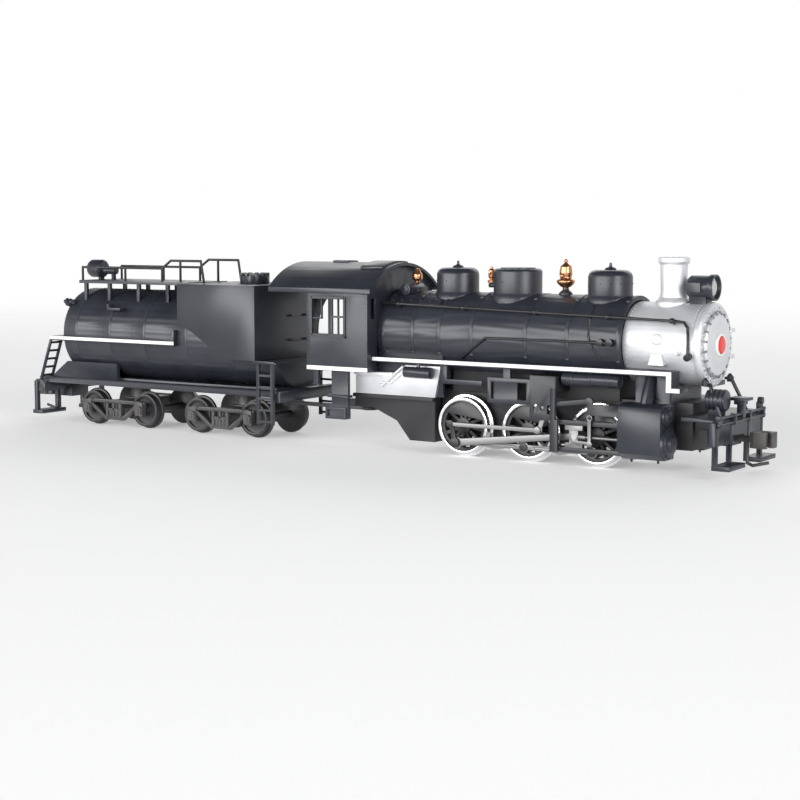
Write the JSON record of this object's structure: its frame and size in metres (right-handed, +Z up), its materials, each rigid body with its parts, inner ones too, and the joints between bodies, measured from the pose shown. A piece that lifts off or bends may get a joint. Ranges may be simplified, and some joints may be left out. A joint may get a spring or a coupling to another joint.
{
  "type": "model steam locomotive",
  "caption": "HO-scale switching steam locomotive with coupled driving wheels, rods and valve gear, pulling a cylindrical-tank tender on two swivelling trucks.",
  "frame": {"origin": "on the model's centreline, midway between its coupler faces, at the level of the bottom of the wheel flanges (the rail top is 0.7 mm higher)", "axes": "+X forward, towards the smokebox; +Y to the engine's left; +Z up"},
  "size_m": [0.2408, 0.034, 0.0521],
  "materials": {
    "black_metal": "satin",
    "black_shell": "satin moulded",
    "brass": "polished",
    "coupler": "satin",
    "die_cast": "satin",
    "lens": "clear",
    "motor_can": "satin",
    "red_plate": "gloss",
    "rod_metal": "brushed",
    "shaft_steel": "ground",
    "silver_sheet": "silver paint",
    "silver_shell": "silver paint",
    "truck_plastic": "satin",
    "tyre_metal": "polished",
    "wheel_metal": "satin black",
    "white_edge_board": "satin, white painted edge",
    "wire": "satin"
  },
  "bodies": {
    "engine": {"chassis_frame": "die_cast", "keeper_plate": "die_cast", "motor": "motor_can", "cylinder_blocks": "black_shell", "guide_yokes": "black_metal", "ash_pan": "die_cast", "boiler_shell": "black_shell", "smokebox": "silver_shell", "smokebox_front": "silver_shell", "number_plate": "red_plate", "smokestack": "silver_shell", "sand_domes": "black_shell", "steam_dome": "black_shell", "bell": "brass", "brass_valves": "brass", "headlight": "black_shell", "headlight_lens": "lens", "handrails": "wire", "boiler_piping": "wire", "running_boards": "white_edge_board", "firebox_sheets": "silver_sheet", "air_tanks": "black_shell", "cab": "black_shell", "cab_roof": "black_shell", "pilot": "black_shell", "pilot_fittings": "black_shell"},
    "front_coupler": {"front_coupler": "coupler"},
    "motor_shaft": {"worm_shaft": "shaft_steel"},
    "rear_drivers": {"rear_driver_centres": "wheel_metal", "rear_driver_tyres": "tyre_metal"},
    "middle_drivers": {"middle_driver_centres": "wheel_metal", "middle_driver_tyres": "tyre_metal"},
    "front_drivers": {"front_driver_centres": "wheel_metal", "front_driver_tyres": "tyre_metal"},
    "side_rod_right": {"side_rod_right": "rod_metal"},
    "main_rod_right": {"main_rod_right": "rod_metal"},
    "eccentric_rod_right": {"eccentric_rod_right": "rod_metal"},
    "crosshead_right": {"crosshead_right": "rod_metal"},
    "expansion_link_right": {"expansion_link_right": "rod_metal"},
    "combination_lever_right": {"combination_lever_right": "rod_metal"},
    "side_rod_left": {"side_rod_left": "rod_metal"},
    "main_rod_left": {"main_rod_left": "rod_metal"},
    "eccentric_rod_left": {"eccentric_rod_left": "rod_metal"},
    "crosshead_left": {"crosshead_left": "rod_metal"},
    "expansion_link_left": {"expansion_link_left": "rod_metal"},
    "combination_lever_left": {"combination_lever_left": "rod_metal"},
    "drawbar": {"drawbar": "black_metal"},
    "tender": {"tender_tank": "black_shell", "fuel_bunker": "black_shell", "tender_frame": "black_shell", "tender_walkways": "white_edge_board", "tender_deck": "black_shell", "tender_handrails": "wire"},
    "rear_truck": {"rear_truck": "truck_plastic"},
    "rear_truck_rear_wheelset": {"rear_truck_rear_wheelset": "wheel_metal"},
    "rear_truck_front_wheelset": {"rear_truck_front_wheelset": "wheel_metal"},
    "front_truck": {"front_truck": "truck_plastic"},
    "front_truck_rear_wheelset": {"front_truck_rear_wheelset": "wheel_metal"},
    "front_truck_front_wheelset": {"front_truck_front_wheelset": "wheel_metal"},
    "rear_coupler": {"rear_coupler": "coupler"}
  },
  "joints": [
    {"name": "rear_driver_spin", "type": "hinge", "parent": "engine", "child": "rear_drivers", "pos_m": [0.04015, 0, 0.0081], "axis": [0, 1, 0], "continuous": true},
    {"name": "middle_driver_spin", "type": "hinge", "parent": "engine", "child": "middle_drivers", "pos_m": [0.0594, 0, 0.0081], "axis": [0, 1, 0], "continuous": true},
    {"name": "front_driver_spin", "type": "hinge", "parent": "engine", "child": "front_drivers", "pos_m": [0.07865, 0, 0.0081], "axis": [0, 1, 0], "continuous": true},
    {"name": "motor_spin", "type": "hinge", "parent": "engine", "child": "motor_shaft", "pos_m": [0.0354, 0, 0.01305], "axis": [1, 0, 0], "continuous": true},
    {"name": "side_rod_right_pin", "type": "hinge", "parent": "rear_drivers", "child": "side_rod_right", "pos_m": [0.03958, -0.0107, 0.00404], "axis": [0, 1, 0], "continuous": true},
    {"name": "main_rod_right_pin", "type": "hinge", "parent": "rear_drivers", "child": "main_rod_right", "pos_m": [0.03958, -0.012, 0.00404], "axis": [0, 1, 0], "continuous": true},
    {"name": "eccentric_rod_right_pin", "type": "hinge", "parent": "rear_drivers", "child": "eccentric_rod_right", "pos_m": [0.03862, -0.0135, 0.00885], "axis": [0, 1, 0], "continuous": true},
    {"name": "crosshead_right_slide", "type": "slide", "parent": "engine", "child": "crosshead_right", "axis": [1, 0, 0], "range_m": [-0.00329, 0.00491]},
    {"name": "combination_lever_right_swing", "type": "hinge", "parent": "engine", "child": "combination_lever_right", "pos_m": [0.079, -0.0144, 0.013], "axis": [0, 1, 0], "range_deg": [-44, 30]},
    {"name": "expansion_link_right_swing", "type": "hinge", "parent": "engine", "child": "expansion_link_right", "pos_m": [0.0658, -0.013, 0.0147], "axis": [0, 1, 0], "range_deg": [-12, 12]},
    {"name": "side_rod_left_pin", "type": "hinge", "parent": "rear_drivers", "child": "side_rod_left", "pos_m": [0.04421, 0.0107, 0.00753], "axis": [0, 1, 0], "continuous": true},
    {"name": "main_rod_left_pin", "type": "hinge", "parent": "rear_drivers", "child": "main_rod_left", "pos_m": [0.04421, 0.012, 0.00753], "axis": [0, 1, 0], "continuous": true},
    {"name": "eccentric_rod_left_pin", "type": "hinge", "parent": "rear_drivers", "child": "eccentric_rod_left", "pos_m": [0.03941, 0.0135, 0.00657], "axis": [0, 1, 0], "continuous": true},
    {"name": "crosshead_left_slide", "type": "slide", "parent": "engine", "child": "crosshead_left", "axis": [1, 0, 0], "range_m": [-0.00816, 0.00004]},
    {"name": "combination_lever_left_swing", "type": "hinge", "parent": "engine", "child": "combination_lever_left", "pos_m": [0.079, 0.0144, 0.013], "axis": [0, 1, 0], "range_deg": [-1, 74]},
    {"name": "expansion_link_left_swing", "type": "hinge", "parent": "engine", "child": "expansion_link_left", "pos_m": [0.0658, 0.013, 0.0147], "axis": [0, 1, 0], "range_deg": [-12, 12]},
    {"name": "front_coupler_swing", "type": "hinge", "parent": "engine", "child": "front_coupler", "pos_m": [0.1079, 0, 0.0089], "axis": [0, 0, 1], "range_deg": [-8, 8]},
    {"name": "drawbar_swing", "type": "hinge", "parent": "engine", "child": "drawbar", "pos_m": [0.0044, 0, 0.0097], "axis": [0, 0, 1], "range_deg": [-10, 10]},
    {"name": "tender_swing", "type": "hinge", "parent": "drawbar", "child": "tender", "pos_m": [-0.0246, 0, 0.0097], "axis": [0, 0, 1], "range_deg": [-10, 10]},
    {"name": "rear_truck_swivel", "type": "hinge", "parent": "tender", "child": "rear_truck", "pos_m": [-0.0798, 0, 0.0107], "axis": [0, 0, 1], "range_deg": [-8, 8]},
    {"name": "rear_truck_rear_wheelset_spin", "type": "hinge", "parent": "rear_truck", "child": "rear_truck_rear_wheelset", "pos_m": [-0.09, 0, 0.0055], "axis": [0, 1, 0], "continuous": true},
    {"name": "rear_truck_front_wheelset_spin", "type": "hinge", "parent": "rear_truck", "child": "rear_truck_front_wheelset", "pos_m": [-0.0696, 0, 0.0055], "axis": [0, 1, 0], "continuous": true},
    {"name": "front_truck_swivel", "type": "hinge", "parent": "tender", "child": "front_truck", "pos_m": [-0.039, 0, 0.0107], "axis": [0, 0, 1], "range_deg": [-8, 8]},
    {"name": "front_truck_rear_wheelset_spin", "type": "hinge", "parent": "front_truck", "child": "front_truck_rear_wheelset", "pos_m": [-0.0492, 0, 0.0055], "axis": [0, 1, 0], "continuous": true},
    {"name": "front_truck_front_wheelset_spin", "type": "hinge", "parent": "front_truck", "child": "front_truck_front_wheelset", "pos_m": [-0.0288, 0, 0.0055], "axis": [0, 1, 0], "continuous": true},
    {"name": "rear_coupler_swing", "type": "hinge", "parent": "tender", "child": "rear_coupler", "pos_m": [-0.1079, 0, 0.0089], "axis": [0, 0, 1], "range_deg": [-8, 8]}
  ],
  "couplings": [
    {"joint": "middle_driver_spin", "follows": "rear_driver_spin", "ratio": 1},
    {"joint": "front_driver_spin", "follows": "rear_driver_spin", "ratio": 1},
    {"joint": "motor_spin", "follows": "rear_driver_spin", "ratio": -24},
    {"joint": "side_rod_right_pin", "follows": "rear_driver_spin", "ratio": -1},
    {"joint": "main_rod_right_pin", "follows": "rear_driver_spin", "ratio": -1},
    {"joint": "eccentric_rod_right_pin", "follows": "rear_driver_spin", "ratio": -1},
    {"joint": "combination_lever_right_swing", "follows": "crosshead_right_slide", "rad_per_m": -156.25},
    {"joint": "side_rod_left_pin", "follows": "rear_driver_spin", "ratio": -1},
    {"joint": "main_rod_left_pin", "follows": "rear_driver_spin", "ratio": -1},
    {"joint": "eccentric_rod_left_pin", "follows": "rear_driver_spin", "ratio": -1},
    {"joint": "combination_lever_left_swing", "follows": "crosshead_left_slide", "rad_per_m": -156.25}
  ]
}
